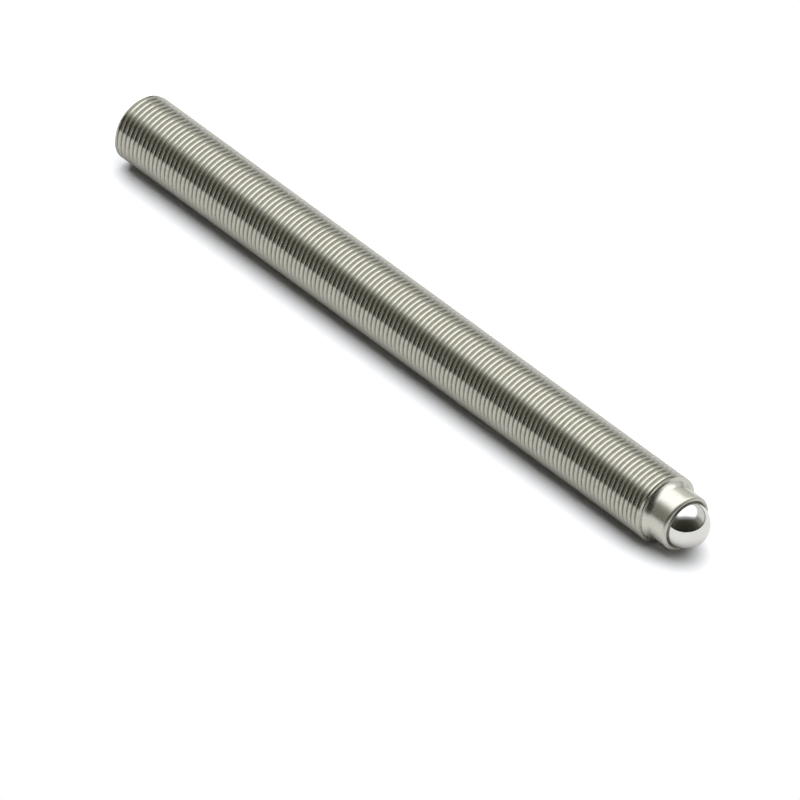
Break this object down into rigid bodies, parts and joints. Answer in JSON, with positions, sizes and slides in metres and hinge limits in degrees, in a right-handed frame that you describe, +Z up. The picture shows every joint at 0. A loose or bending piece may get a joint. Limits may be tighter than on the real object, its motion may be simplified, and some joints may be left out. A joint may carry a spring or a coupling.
{
  "type": "ball-end adjusting screw",
  "caption": "Headless fine-thread adjusting screw with a hexagon socket in one end and a hard ball pressed into a thin rounded lip at the other.",
  "frame": {"origin": "on the screw's axis, half way between the drive end and the ball's crown", "axes": "+X along the screw towards the ball, +Z up as the screw lies on a surface, which is half a thread diameter below the origin"},
  "size_m": [0.035, 0.003, 0.003],
  "materials": {
    "turned_stainless": "turned and thread-rolled stainless steel, satin, slightly warm in tone",
    "polished_ball_steel": "ground and polished hardened steel, mirror bright"
  },
  "bodies": {
    "root": {"screw_body": "turned_stainless", "tip_ball": "polished_ball_steel"}
  },
  "joints": []
}
